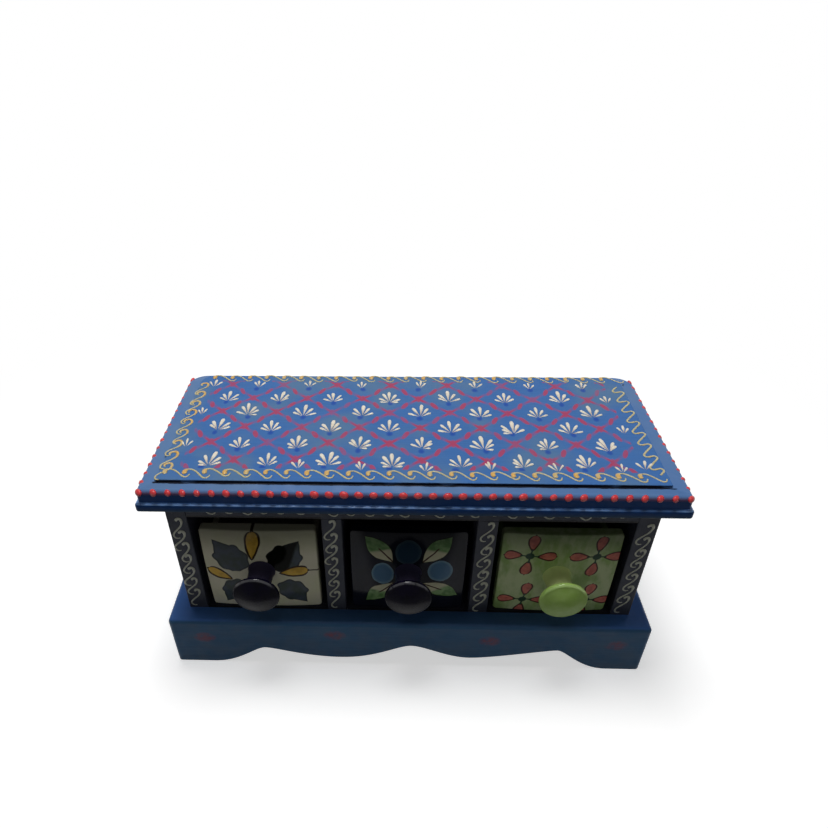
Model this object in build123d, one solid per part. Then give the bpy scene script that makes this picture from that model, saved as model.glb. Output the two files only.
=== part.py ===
"""Tabletop chest of three ceramic drawers in a painted wooden case.

The case is a box of nailed boards. Two side panels carry a floor in housings, two
dividers stand on the floor, a rail runs across the front under a moulded lid, and a
thin back closes it. A skirt of four scalloped aprons is nailed round its foot, so the
front apron leaves a ledge in front of the drawers. Each drawer is one slip-cast
ceramic box with a pillowed face and a flared ceramic knob. The knob's stud goes
through the face and is held inside by a washer and a nut.

Millimetres. +Z is up and the front faces -Y. The origin lies on the table, at the
middle of the overall footprint, knobs included.
"""

import os
from math import radians, sqrt, tan

from build123d import *

# Skirt: four aprons round the foot of the case
base_width = 306.0
base_depth = 134.0
base_height = 40.0
apron_thickness = 12.0
apron_edge_radius = 2.8

# Hand-cut lower edges of the aprons: the length of the feet at the two ends, and
# between them each crest and trough as its share of the way from one foot to the
# other, its height above the table, and the share over which the curve stays level
front_feet = (25.0, 22.0)
front_waves = [
    (0.137, 15.2, 0.027),
    (0.328, 6.6, 0.093),
    (0.506, 19.8, 0.035),
    (0.653, 8.6, 0.058),
    (0.869, 18.0, 0.023),
]
side_feet = (13.0, 13.0)
side_waves = [(0.214, 15.0, 0.06), (0.5, 8.0, 0.12), (0.786, 15.0, 0.06)]
foot_level = 0.068

# Case boards
side_thickness = 12.0
divider_thickness = 12.0
rail_thickness = 12.0
rail_height = 13.0
floor_thickness = 6.0
floor_rise = 1.0
floor_housing = 3.0
back_thickness = 4.0
opening_height = 77.5
side_panel_foot = 22.0
board_edge_radius = 0.6

# Lid: a rounded lip, a shoulder, a sloping band and a flat panel, one on the other
lid_side_overhang = 11.5
lid_front_overhang = 10.3
lip_height = 5.0
lip_top_radius = 1.5
lip_bottom_radius = 0.6
ledge = 1.8
shoulder_height = 8.7
shoulder_radius = 2.6
band_rise = 1.3
band_front_width = 3.8
band_side_width = 7.6
panel_height = 1.6
lid_front_corner = 2.2
lid_back_corner = 12.0
panel_front_corner = 1.2
panel_back_corner = 8.0

# Drawer: slip-cast, with a thick pillowed face and a tray behind it
drawer_side_gap = 4.0
drawer_top_gap = 11.0
drawer_back_gap = 4.0
drawer_lift = 0.3
face_stand_out = 0.5
face_thickness = 8.0
face_pillow = 3.0
face_corner_radius = 2.2
face_edge_radius = 1.0
tray_inset = 1.2
tray_drop = 16.0
tray_draft = 1.0
tray_lap = 2.0
wall_thickness = 3.6
tray_floor = 3.6
tray_corner_radius = 4.5
tray_edge_radius = 2.4
cavity_corner_radius = 1.5
cavity_edge_radius = 1.5

# Knob: a waisted neck that flares into a domed disc
knob_rise = 1.0
knob_foot_radius = 8.5
knob_neck_radius = 7.6
knob_waist = 5.5
knob_disc_radius = 14.0
knob_disc_start = 17.4
knob_rim_thickness = 3.6
knob_dome_height = 2.8
stud_radius = 2.0
stud_depth = 12.0
stud_tail = 1.5
stud_fit = 0.03
stud_hole_clearance = 0.3
washer_radius = 6.0
washer_thickness = 1.0
nut_across_flats = 7.0
nut_thickness = 3.2

# Nails, punched below the painted faces and filled over
nail_radius = 0.7
nail_head_radius = 1.3
nail_head_thickness = 0.6
nail_fit = 0.02
nail_set = 1.5
nail_hold = 10.0
nail_row_spacing = 52.0
back_nail_edge = 14.0

# Places worked out from the sizes above
bays = ("left", "middle", "right")
knob_length = knob_disc_start + knob_rim_thickness + knob_dome_height
knob_reach = max(0.0, knob_length + face_stand_out - apron_thickness)
base_front = -(base_depth - knob_reach) / 2
base_back = base_front + base_depth
case_front = base_front + apron_thickness
case_back = base_back - apron_thickness
case_middle = (case_front + case_back) / 2
case_width = base_width - 2 * apron_thickness
case_depth = base_depth - 2 * apron_thickness
panel_back = case_back - back_thickness
board_middle = (case_front + panel_back) / 2
floor_top = base_height + floor_rise
floor_bottom = floor_top - floor_thickness
rail_bottom = floor_top + opening_height
case_top = rail_bottom + rail_height
inner_width = case_width - 2 * side_thickness
opening_width = (inner_width - (len(bays) - 1) * divider_thickness) / len(bays)
bay_pitch = opening_width + divider_thickness
lid_width = case_width + 2 * lid_side_overhang
lid_depth = case_depth + 2 * lid_front_overhang
shoulder_top = case_top + lip_height + shoulder_height
panel_bottom = shoulder_top + band_rise
lid_top = panel_bottom + panel_height
drawer_bottom = floor_top + drawer_lift
face_front = case_front - face_stand_out
face_back = face_front + face_thickness
face_width = opening_width - 2 * drawer_side_gap
face_height = opening_height - drawer_lift - drawer_top_gap
face_middle = drawer_bottom + face_height / 2
knob_height = face_middle + knob_rise

# Where the nails go: the middle of each head's outer face, the way the nail points
# and its length
side_middle = (case_width - side_thickness) / 2
uprights = (-side_middle, -bay_pitch / 2, bay_pitch / 2, side_middle)
nail_rows = (case_middle - nail_row_spacing / 2, case_middle + nail_row_spacing / 2)
apron_nail_height = (side_panel_foot + floor_bottom) / 2
apron_nail_length = apron_thickness - nail_set + nail_hold
lid_nails = [
    ((x, y, lid_top - nail_set), (0, 0, -1), lid_top - nail_set - case_top + nail_hold)
    for x in uprights
    for y in nail_rows
]
floor_nails = [
    ((x, y, floor_bottom), (0, 0, 1), floor_thickness + nail_hold)
    for x in uprights[1:-1]
    for y in nail_rows
]
back_nails = [
    ((x, case_back, z), (0, -1, 0), back_thickness + nail_hold)
    for x in uprights
    for z in (floor_top + back_nail_edge, case_top - back_nail_edge)
]
apron_nails = [
    ((x, y - way * nail_set, apron_nail_height), (0, -way, 0), apron_nail_length)
    for x in (-side_middle, side_middle)
    for y, way in ((base_front, -1), (base_back, 1))
]
apron_nails += [
    ((way * (base_width / 2 - nail_set), y, apron_nail_height), (-way, 0, 0), apron_nail_length)
    for way in (-1, 1)
    for y in nail_rows
]


def nail(head, direction, length, fit=0.0):
    """A round nail with a flat head, made larger by fit where it is its own hole."""
    plane = Plane(head, z_dir=direction)
    shank = extrude(plane * Circle(nail_radius + fit), length + fit)
    return shank + extrude(plane * Circle(nail_head_radius + fit), nail_head_thickness)


def drive(wood):
    """The board with a hole wherever a nail goes through it."""
    room = wood.bounding_box()
    for head, direction, length in lid_nails + floor_nails + back_nails + apron_nails:
        hole = nail(head, direction, length, nail_fit)
        if room.overlaps(hole.bounding_box()):
            wood -= hole
    return wood


def board(x_range, y_range, z_range):
    """A flat board that fills three ranges, with its arrises eased."""
    low, high = (Vector(*corner) for corner in zip(x_range, y_range, z_range))
    size = high - low
    solid = Pos(*((low + high) * 0.5)) * Box(size.X, size.Y, size.Z)
    return fillet(solid.edges(), board_edge_radius)


def scalloped_board(length, feet, waves):
    """An apron standing on the table along X, with its inner face on the XZ plane."""
    left, right = feet[0] - length / 2, length / 2 - feet[1]
    span = right - left
    turns = [(0.0, 0.0, foot_level), *waves, (1.0, 0.0, foot_level)]
    turns = [(left + share * span, height, level * span) for share, height, level in turns]
    scallops = [
        Bezier((x0, z0), (x0 + level0, z0), (x1 - level1, z1), (x1, z1))
        for (x0, z0, level0), (x1, z1, level1) in zip(turns, turns[1:])
    ]
    ends = [(length / 2, 0), (length / 2, base_height), (-length / 2, base_height), (-length / 2, 0)]
    rest = Polyline((right, 0), *ends, (left, 0))
    return extrude(Plane.XZ * make_face([*scallops, *rest.edges()]), apron_thickness)


def turned_round(shape):
    """The same piece on the opposite face of the case."""
    return Pos(0, case_middle, 0) * Rot(0, 0, 180) * Pos(0, -case_middle, 0) * shape


def long_apron():
    """The front apron, with its upper and end arrises rounded. The back one is its twin."""
    apron = Pos(0, case_front, 0) * scalloped_board(base_width, front_feet, front_waves)
    top_edges = apron.faces().sort_by(Axis.Z)[-1].edges().sort_by(Axis.Y)[:-1]
    corners = apron.faces().sort_by(Axis.Y)[0].edges().filter_by(Axis.Z)
    return drive(fillet([*top_edges, *corners], apron_edge_radius))


def short_apron():
    """The left apron, butted between the long ones. The right one is its twin."""
    apron = scalloped_board(case_depth, side_feet, side_waves)
    apron = Pos(-case_width / 2, case_middle, 0) * Rot(0, 0, -90) * apron
    outer_face = apron.faces().sort_by(Axis.X)[0]
    return drive(fillet(outer_face.edges().sort_by(Axis.Z)[-1], apron_edge_radius))


def floor_blank():
    """The floor as it is let into the side panels."""
    blank = Box(inner_width + 2 * floor_housing, panel_back - case_front, floor_thickness)
    return Pos(0, board_middle, floor_bottom + floor_thickness / 2) * blank


def side_panel(side):
    """The left (-1) or right (1) side of the case, housed for the end of the floor."""
    span = sorted((side * case_width / 2, side * (case_width / 2 - side_thickness)))
    panel = board(span, (case_front, panel_back), (side_panel_foot, case_top))
    return drive(panel - floor_blank())


def divider(side):
    """An upright between two drawers, notched at the top of its front edge for the rail."""
    x = side * bay_pitch / 2
    span = (x - divider_thickness / 2, x + divider_thickness / 2)
    upright = board(span, (case_front, panel_back), (floor_top, case_top))
    notch = Pos(x, case_front, case_top) * Box(divider_thickness, 2 * rail_thickness, 2 * rail_height)
    return drive(upright - notch)


def top_rail():
    """The rail across the front, under the lid and over the dividers."""
    span = (-inner_width / 2, inner_width / 2)
    return board(span, (case_front, case_front + rail_thickness), (rail_bottom, case_top))


def back_panel():
    """The thin back, nailed over the ends of the sides and dividers."""
    panel = Box(case_width, back_thickness, case_top - side_panel_foot)
    return drive(Pos(0, panel_back + back_thickness / 2, (side_panel_foot + case_top) / 2) * panel)


def lid_outline(side_inset, front_inset, front_corner, back_corner, height):
    """The lid's outline, drawn in from its lip, at a height above the table."""
    outline = Rectangle(lid_width - 2 * side_inset, lid_depth - 2 * front_inset)
    outline = fillet(outline.vertices().group_by(Axis.Y)[0], front_corner)
    outline = fillet(outline.vertices().group_by(Axis.Y)[-1], back_corner)
    return Pos(0, case_middle, height) * outline


def lid():
    """The moulded lid. Its band slopes more gently at the ends than along the front."""
    lip = extrude(lid_outline(0, 0, lid_front_corner, lid_back_corner, case_top), lip_height)
    lip = fillet(lip.edges().group_by(Axis.Z)[-1], lip_top_radius)
    lip = fillet(lip.edges().group_by(Axis.Z)[0], lip_bottom_radius)
    shoulder_outline = lid_outline(ledge, ledge, lid_front_corner, lid_back_corner, case_top)
    shoulder = extrude(shoulder_outline, lip_height + shoulder_height)
    shoulder = fillet(shoulder.edges().group_by(Axis.Z)[-1], shoulder_radius)
    inset = ledge + shoulder_radius
    corners = (panel_front_corner, panel_back_corner)
    band_outline = lid_outline(inset, inset, *corners, shoulder_top)
    panel_outline = lid_outline(inset + band_side_width, inset + band_front_width, *corners, panel_bottom)
    band = loft([band_outline, panel_outline])
    panel = extrude(panel_outline, panel_height)
    panel = fillet(panel.edges().group_by(Axis.Z)[-1], board_edge_radius)
    return drive(lip + shoulder + band + panel)


def drawer_face(x):
    """The drawer's thick face: a rounded square whose front swells like a pillow."""
    plane = Plane((x, face_front, face_middle), x_dir=(1, 0, 0), z_dir=(0, 1, 0))
    face = extrude(plane * RectangleRounded(face_width, face_height, face_corner_radius), face_thickness)
    half_diagonal = sqrt(face_width**2 + face_height**2) / 2
    swell = (half_diagonal**2 + face_pillow**2) / (2 * face_pillow)
    face &= Pos(x, face_front + swell, face_middle) * Sphere(swell)
    return fillet(face.faces().sort_by(Axis.Y)[0].edges(), face_edge_radius)


def tray_block(x, inset, floor, front, corner_radius):
    """A block that flares upwards as a cast tray does, with a square front. It is the
    tray's outside, or the cavity where it is drawn in by a wall."""
    height = face_height - tray_drop
    flare = height * tan(radians(tray_draft))
    width = face_width - 2 * (tray_inset + flare + inset)
    back = panel_back - drawer_back_gap - flare - inset
    outline = Pos(x, (front + back) / 2, drawer_bottom + floor) * Rectangle(width, back - front)
    outline = fillet(outline.vertices().group_by(Axis.Y)[-1], corner_radius)
    block = extrude(outline, height, taper=-tray_draft)
    return split(block, bisect_by=Plane((x, front, 0), z_dir=(0, 1, 0)), keep=Keep.TOP)


def drawer(x):
    """One cast drawer: the face and its tray, with the hole for the knob's stud."""
    tray_front = face_back - tray_lap
    tray = tray_block(x, 0, 0, tray_front, tray_corner_radius)
    outer_edges = tray.edges().group_by(Axis.Z)[0].sort_by(Axis.Y)[1:]
    tray = fillet(outer_edges, tray_edge_radius)
    cavity = tray_block(x, wall_thickness, tray_floor, face_back, cavity_corner_radius)
    cavity = fillet(cavity.edges().group_by(Axis.Z)[0], cavity_edge_radius)
    hole_plane = Plane((x, face_front, knob_height), z_dir=(0, 1, 0))
    stud_hole = hole_plane * Circle(stud_radius + stud_hole_clearance)
    return drawer_face(x) + tray - cavity - extrude(stud_hole, 2 * face_thickness)


def knob(x):
    """A knob turned about its axis: foot, waisted neck, flare, round rim and domed face."""
    rim_end = knob_disc_start + knob_rim_thickness
    rim_inner = knob_disc_radius - knob_rim_thickness / 2
    foot, disc_back, disc_front = (knob_foot_radius, 0), (rim_inner, knob_disc_start), (rim_inner, rim_end)
    outline = [
        Line((0, 0), foot),
        Spline(foot, (knob_neck_radius, knob_waist), disc_back, tangents=((-0.4, 1), (1, 0.45))),
        ThreePointArc(disc_back, (knob_disc_radius, (knob_disc_start + rim_end) / 2), disc_front),
        Spline(disc_front, (0, knob_length), tangents=((-1, 0.3), (-1, 0))),
        Line((0, knob_length), (0, 0)),
    ]
    middle = (x, face_front, knob_height)
    turning = Plane(middle, x_dir=(1, 0, 0), z_dir=(0, 0, -1))
    solid = revolve(turning * make_face(outline), Axis(middle, (0, -1, 0)))
    socket = Plane(middle, z_dir=(0, -1, 0)) * Circle(stud_radius + stud_fit)
    return solid - extrude(socket, stud_depth)


def knob_stud(x):
    """The steel stud cemented in the knob, through the face, the washer and the nut."""
    length = stud_depth + face_thickness + washer_thickness + nut_thickness + stud_tail
    start = Plane((x, face_front - stud_depth, knob_height), z_dir=(0, 1, 0))
    rod = extrude(start * Circle(stud_radius), length)
    return chamfer(rod.edges().group_by(Axis.Y)[-1], stud_tail / 3)


def knob_washer(x):
    """The washer against the inside of the face."""
    ring = Circle(washer_radius) - Circle(stud_radius + stud_hole_clearance)
    return extrude(Plane((x, face_back, knob_height), z_dir=(0, 1, 0)) * ring, washer_thickness)


def knob_nut(x):
    """The hexagon nut that draws the knob tight."""
    hexagon = RegularPolygon(nut_across_flats / 2, 6, major_radius=False) - Circle(stud_radius + stud_fit)
    plane = Plane((x, face_back + washer_thickness, knob_height), z_dir=(0, 1, 0))
    return extrude(plane * hexagon, nut_thickness)


def nail_group(nails):
    """Like nails, each its own solid."""
    return Compound(children=[nail(*place) for place in nails])


nodes = {
    "lid": lid(),
    "side_panel_left": side_panel(-1),
    "side_panel_right": side_panel(1),
    "divider_left": divider(-1),
    "divider_right": divider(1),
    "top_rail": top_rail(),
    "floor_board": drive(floor_blank()),
    "back_panel": back_panel(),
    "apron_front": long_apron(),
    "apron_back": turned_round(long_apron()),
    "apron_left": short_apron(),
    "apron_right": turned_round(short_apron()),
    "lid_nails": nail_group(lid_nails),
    "floor_nails": nail_group(floor_nails),
    "back_nails": nail_group(back_nails),
    "apron_nails": nail_group(apron_nails),
}
for number, bay in enumerate(bays):
    x = (number - (len(bays) - 1) / 2) * bay_pitch
    nodes[f"drawer_{bay}"] = drawer(x)
    nodes[f"knob_{bay}"] = knob(x)
    nodes[f"knob_stud_{bay}"] = knob_stud(x)
    nodes[f"knob_washer_{bay}"] = knob_washer(x)
    nodes[f"knob_nut_{bay}"] = knob_nut(x)

os.makedirs("parts", exist_ok=True)
for name, shape in nodes.items():
    export_step(shape, f"parts/{name}.step")
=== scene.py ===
"""Looks of the tabletop chest: enamel paint, glazes, raised ornament and the studio.

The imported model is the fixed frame, so every piece goes where the solids are. Sizes
in this file are millimetres and are turned into metres where a node or a mesh needs
them. Only the lamps, the floor and the trees' own defaults are in metres.
"""

import math

import bpy
from bpy.props import FloatProperty, FloatVectorProperty, IntProperty, PointerProperty
from bpy.types import Operator, Panel, PropertyGroup
from mathutils import Matrix, Vector


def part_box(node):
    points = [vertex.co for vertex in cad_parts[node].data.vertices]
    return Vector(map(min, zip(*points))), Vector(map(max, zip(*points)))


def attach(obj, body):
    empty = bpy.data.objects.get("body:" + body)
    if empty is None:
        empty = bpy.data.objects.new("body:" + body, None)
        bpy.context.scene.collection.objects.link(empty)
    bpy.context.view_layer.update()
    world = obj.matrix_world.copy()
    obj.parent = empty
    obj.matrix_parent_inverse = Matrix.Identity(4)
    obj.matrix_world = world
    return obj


bl_info = {
    "name": "Tabletop chest looks",
    "version": (1, 0, 0),
    "blender": (4, 5, 0),
    "location": "3D View > Sidebar > Chest",
    "description": "Dresses the packed chest of drawers with paint, glaze and raised ornament",
    "category": "Object",
}

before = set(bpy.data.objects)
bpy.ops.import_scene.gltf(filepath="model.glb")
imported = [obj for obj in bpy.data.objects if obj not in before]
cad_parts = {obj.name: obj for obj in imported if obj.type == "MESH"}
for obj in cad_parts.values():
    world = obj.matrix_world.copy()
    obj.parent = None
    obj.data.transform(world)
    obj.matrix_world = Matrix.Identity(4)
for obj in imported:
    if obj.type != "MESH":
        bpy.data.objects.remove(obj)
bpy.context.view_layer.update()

MM = 0.001
BAYS = ("left", "middle", "right")


def corners(node):
    """The lowest and highest corner of a node, in millimetres."""
    return tuple(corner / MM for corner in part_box(node))


LID_LOW, LID_HIGH = corners("lid")
CASE_LOW, _ = corners("side_panel_left")
CASE_FRONT = CASE_LOW.y
SKIRT_LOW, SKIRT_HIGH = corners("apron_front")
FACE_LOW, FACE_HIGH = corners("drawer_middle")
FACE_MIDDLE = (FACE_LOW.z + FACE_HIGH.z) / 2
KNOB_LOW, KNOB_HIGH = corners("knob_middle")
KNOB_MIDDLE = (KNOB_LOW.z + KNOB_HIGH.z) / 2
BAY_PITCH = corners("knob_right")[0].x - KNOB_LOW.x

# Heights on the lid: tops of its lip and shoulder, foot of its panel and middle of its
# dots, and where the panel's front edge is
LIP_TOP = LID_LOW.z + 5.0
SHOULDER_TOP = LIP_TOP + 8.7
PANEL_FOOT = SHOULDER_TOP + 1.3
DOT_HEIGHT = SHOULDER_TOP - 1.6
PANEL_FRONT = LID_LOW.y + 8.2

# Places of the lid's ornament, read off the photo. The fans lie in rows, nearer together
# towards the ends, and the lattice keeps to its field.
FAN_CENTRE = (6.5, -14.8)
FAN_FOOT = -37.4
FAN_ROW = 17.0
FAN_PITCH = (37.3, 16.5)
FAN_SQUEEZE = 0.0148
FAN_ENDS = (-130.5, 126.5)
FIELD = (-131.0, 129.0, -40.5, 57.0)

# Places and heights of the faint flowers along the front apron
MOTIFS = ((-131.0, 24.5), (-46.5, 28.8), (53.0, 26.2), (133.6, 24.3))

# Strokes drawn by hand, seen with their run to the right: SCROLL for the front and back of
# the lid's border, CURL for its left, WAVE for its right, and HOOK for the case
SCROLL = (
    (0.4, -1.0), (-0.3, 0.3), (-0.2, 1.9), (1.1, 3.1), (3.3, 3.0), (6.1, 1.2), (9.0, -1.6), (11.3, -3.5),
    (13.2, -3.1), (14.1, -1.0),
)
WAVE = (
    (-4.2, 0.3), (-1.6, -2.0), (0.1, -3.2), (1.6, -2.9), (2.0, -1.3), (1.4, 0.6), (1.1, 2.2), (2.1, 3.3),
    (3.7, 2.9), (6.5, 0.3),
)
HOOK = (
    (1.3, 0.5), (0.0, 1.0), (-0.6, 2.4), (0.6, 3.4), (3.0, 3.4), (5.4, 2.3), (7.6, 0.4), (9.8, -1.6),
    (12.0, -2.9), (14.0, -2.6), (14.9, -1.1), (14.6, 0.5),
)
CURL = (
    (2.9, -0.6), (1.2, -1.5), (-0.5, -0.4), (-0.7, 1.8), (1.3, 3.2), (4.2, 2.9), (6.8, 0.7), (9.2, -1.8),
    (11.8, -3.2), (14.2, -2.4), (14.8, -0.2),
)

# How far a lobed leaf reaches, as shares of its length, at shares of half a turn from its tip
LEAF_REACHES = (
    (0.0, 0.6), (0.12, 0.58), (0.27, 0.67), (0.42, 0.56), (0.6, 0.61), (0.72, 0.56), (0.85, 0.66),
    (1.0, 0.62),
)

# The camera that took the photo: place, yaw, pitch and roll, lens and shift
PICTURE_WIDTH, SENSOR_WIDTH = 828, 36.0
CAMERA_PLACE = (-8.61, -327.99, 373.76)
CAMERA_ANGLES = (-2.57, 37.21, -0.97)
CAMERA_LENS = 657.93 / PICTURE_WIDTH * SENSOR_WIDTH
CAMERA_SHIFT = (42.44 / PICTURE_WIDTH, 46.0 / PICTURE_WIDTH)


# Node trees written as expressions


class Sheet:
    """A shader or geometry tree. Terms that come from it take part in plain sums."""

    def __init__(self, tree, owner=None):
        self.tree, self.owner = tree, owner
        tree.nodes.clear()

    def add(self, kind, values=None, out=0, **settings):
        """Adds a node: its settings first, then the values or links of its sockets."""
        node = self.tree.nodes.new(kind)
        for name, value in settings.items():
            if name == "stops":
                set_stops(node.color_ramp, value)
            else:
                setattr(node, name, value)
        for key, value in (values or {}).items():
            socket = pick_socket(node.inputs, key)
            if isinstance(value, Term):
                self.tree.links.new(value.socket, socket)
            else:
                socket.default_value = value
        return Term(self, pick_socket(node.outputs, out)) if len(node.outputs) else None

    def math(self, operation, *values):
        """A Math node on one or two values."""
        return self.add("ShaderNodeMath", dict(enumerate(values)), operation=operation)

    def vector(self, operation, *values):
        """A Vector Math node on two vectors."""
        return self.add("ShaderNodeVectorMath", dict(enumerate(values)), operation=operation)

    def scaled(self, vector, share):
        """A vector made longer or shorter."""
        return self.add("ShaderNodeVectorMath", {"Vector": vector, "Scale": share}, operation="SCALE")

    def join(self, x, y, z):
        """A vector out of three values."""
        return self.add("ShaderNodeCombineXYZ", {0: x, 1: y, 2: z})

    def split(self, vector):
        """The three values of a vector."""
        node = self.add("ShaderNodeSeparateXYZ", {0: vector}).socket.node
        return [Term(self, socket) for socket in node.outputs]

    def mix(self, factor, first, second, blend="MIX"):
        """One colour over another."""
        values = {"Factor": factor, "A": first, "B": second}
        return self.add("ShaderNodeMix", values, "Result", data_type="RGBA", blend_type=blend)

    def toned(self, colour, tone):
        """A colour made darker or lighter by a value."""
        tint = self.add("ShaderNodeCombineColor", {0: tone, 1: tone, 2: tone})
        return self.mix(1.0, colour, tint, "MULTIPLY")

    def place(self):
        """The point on the piece, in metres."""
        return self.add("ShaderNodeTexCoord", out="Object")

    def millimetres(self):
        """The point's x, y and z, in millimetres."""
        return self.split(self.scaled(self.place(), 1 / MM))

    def noise(self, grain, detail=2.0, stretch=(1, 1, 1), rough=0.5, out="Fac"):
        """Noise with a grain in millimetres, drawn out along the axes by stretch."""
        at = self.vector("DIVIDE", self.place(), stretch)
        values = {"Vector": at, "Scale": 1 / (grain * MM), "Detail": detail, "Roughness": rough}
        return self.add("ShaderNodeTexNoise", values, out)

    def patchy(self, grain, low, high):
        """A value that wanders from low to high in soft patches."""
        return self.noise(grain).rise(0.3, 0.7, low, high)

    def mottled(self, grain, first, second, low=0.35, high=0.65):
        """Soft patches of a second colour, where the noise goes from low to high."""
        return self.mix(self.noise(grain).rise(low, high), first, second)

    def sway(self, grain, reach):
        """Three values that wander slowly round nought, for a hand that isn't steady."""
        return [(part - 0.5) * (2 * reach) for part in self.split(self.noise(grain, 1.0, out="Color"))]


def operation(kind):
    """A method that puts a term, and the other value if there is one, into a Math node."""
    return lambda term, *other: term.sheet.math(kind, term, *other)


class Term:
    """One value in a sheet."""

    def __init__(self, sheet, socket):
        self.sheet, self.socket = sheet, socket

    __add__ = __radd__ = operation("ADD")
    __sub__ = operation("SUBTRACT")
    __mul__ = __rmul__ = operation("MULTIPLY")
    __truediv__ = operation("DIVIDE")
    __pow__ = operation("POWER")
    __mod__ = operation("FLOORED_MODULO")
    __abs__ = operation("ABSOLUTE")
    most = operation("MAXIMUM")
    least = operation("MINIMUM")
    over = operation("GREATER_THAN")
    whole = operation("FLOOR")
    nearest = operation("ROUND")
    sign = operation("SIGN")
    sine = operation("SINE")
    root = operation("SQRT")

    def __rsub__(self, other):
        return self.sheet.math("SUBTRACT", other, self)

    def __neg__(self):
        return self * -1.0

    def rise(self, low, high, start=0.0, end=1.0):
        """A soft step from start to end while the value goes from low to high."""
        values = {"Value": self, "From Min": low, "From Max": high, "To Min": start, "To Max": end}
        return self.sheet.add("ShaderNodeMapRange", values, interpolation_type="SMOOTHSTEP")

    def fall(self, low, high):
        """A soft step from 1 to 0 while the value goes from low to high."""
        return self.rise(low, high, 1.0, 0.0)


def pick_socket(sockets, key):
    """A socket by its number, or by its name among those in use."""
    if isinstance(key, int):
        return sockets[key]
    return next(socket for socket in sockets if socket.enabled and key == socket.name)


def set_stops(ramp, stops):
    """Gives a colour ramp its stops."""
    while len(ramp.elements) > 1:
        ramp.elements.remove(ramp.elements[-1])
    for number, (place, colour) in enumerate(stops):
        element = ramp.elements[0] if number == 0 else ramp.elements.new(place)
        element.position, element.color = place, colour
    ramp.interpolation = "EASE"


def any_of(masks):
    """The largest of several masks."""
    largest, *others = masks
    for mask in others:
        largest = largest.most(mask)
    return largest


def paint(red, green, blue):
    """A colour as it is read off a screen, from 0 to 255, made linear."""
    linear = [
        part / 12.92 if part <= 0.04045 else ((part + 0.055) / 1.055) ** 2.4
        for part in (red / 255, green / 255, blue / 255)
    ]
    return (*linear, 1.0)


def shade(colour, share):
    """The same colour, darker or lighter."""
    return (*(part * share for part in colour[:3]), 1.0)


def new_material(name):
    """The empty sheet of a new material."""
    material = bpy.data.materials.new(name)
    material.use_nodes = True
    return Sheet(material.node_tree, material)


def finish_material(sheet, colour, roughness, height, depth, **constants):
    """Ends a material and gives it back. The height is in shares of depth, in millimetres."""
    bump = sheet.add("ShaderNodeBump", {"Height": height, "Distance": depth * MM, "Strength": 1.0})
    values = {"Base Color": colour, "Roughness": roughness, "Normal": bump}
    values.update({name.replace("_", " "): value for name, value in constants.items()})
    surface = sheet.add("ShaderNodeBsdfPrincipled", values)
    sheet.add("ShaderNodeOutputMaterial", {"Surface": surface})
    return sheet.owner


def dress(material, *nodes):
    """Gives nodes of the frame a material."""
    for node in nodes:
        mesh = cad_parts[node].data
        mesh.materials.clear()
        mesh.materials.append(material)
        mesh.polygons.foreach_set("material_index", [0] * len(mesh.polygons))


# Shapes drawn with a brush, as masks


def ellipse(across, along, width, length, soft=0.25):
    """1 inside an ellipse round nought, with a soft edge."""
    reach = (across / (width / 2)) ** 2.0 + (along / (length / 2)) ** 2.0
    return reach.fall(1 - soft, 1 + soft)


def turned(across, along, degrees):
    """The two values in axes that are turned."""
    cosine, sine = math.cos(math.radians(degrees)), math.sin(math.radians(degrees))
    return across * cosine + along * sine, along * cosine - across * sine


def teardrop(across, along, width, length):
    """How far inside a drop a point is, in millimetres. Its point is at nought."""
    share = (along / length).most(0.0).least(1.0)
    beyond = abs(along - share * length)
    return share * (1 - share).root() * (width * 1.3) - abs(across) - beyond


def leaf(across, along, width, length):
    """How far inside a leaf pointed at both ends a point is, in millimetres."""
    share = (along / length).most(0.0).least(1.0)
    return (share * math.pi).sine() * (width / 2) - abs(across) - abs(along - share * length)


def lobed_leaf(sheet, across, along, length):
    """How far inside a lobed leaf a point is. Its pointed tip lies at length along."""
    angle = abs(sheet.math("ARCTAN2", across, along)) / math.pi
    stops = [(share, (reach, reach, reach, 1)) for share, reach in LEAF_REACHES]
    body = sheet.add("ShaderNodeValToRGB", {"Fac": angle}, stops=stops) * length
    body = body - (across * across + along * along).root()
    tip = (length - along) * 0.72 - abs(across) - (length * 0.42 - along).most(0.0) * 9.0
    return body.most(tip)


# Sizes and colours that a user would change


def length_property(name, description, default):
    """A length whose default is given in millimetres."""
    return FloatProperty(
        name=name, description=description, default=default * MM, unit="LENGTH", precision=5)


def colour_property(name, description, *default):
    """A colour whose default is given as it is read off a screen."""
    return FloatVectorProperty(
        name=name, description=description, default=paint(*default), subtype="COLOR", size=4,
        min=0.0, max=1.0)


class ChestSizes(PropertyGroup):
    """Sizes of the raised ornament."""

    dot_width: length_property("Dot width", "Width of a red dot on the lid's edge", 5.4)
    dot_pitch: length_property("Dot pitch", "Distance from one red dot to the next", 8.05)
    scroll_pitch: length_property("Scroll pitch", "Length of one wave of the lid's border", 11.38)
    scroll_stroke: length_property("Scroll stroke", "Width of the line of the lid's border", 1.1)
    upright_pitch: length_property("Upright pitch", "Length of one scroll on the uprights", 10.1)
    upright_stroke: length_property("Upright stroke", "Width of the line on the uprights", 1.2)
    petal_length: length_property("Petal length", "Length of the middle petal of a fan", 11.8)
    petal_width: length_property("Petal width", "Width of a petal of a fan", 2.9)
    seed: IntProperty(name="Seed", description="Which hand-made unevenness is used", default=7, min=0)


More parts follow.
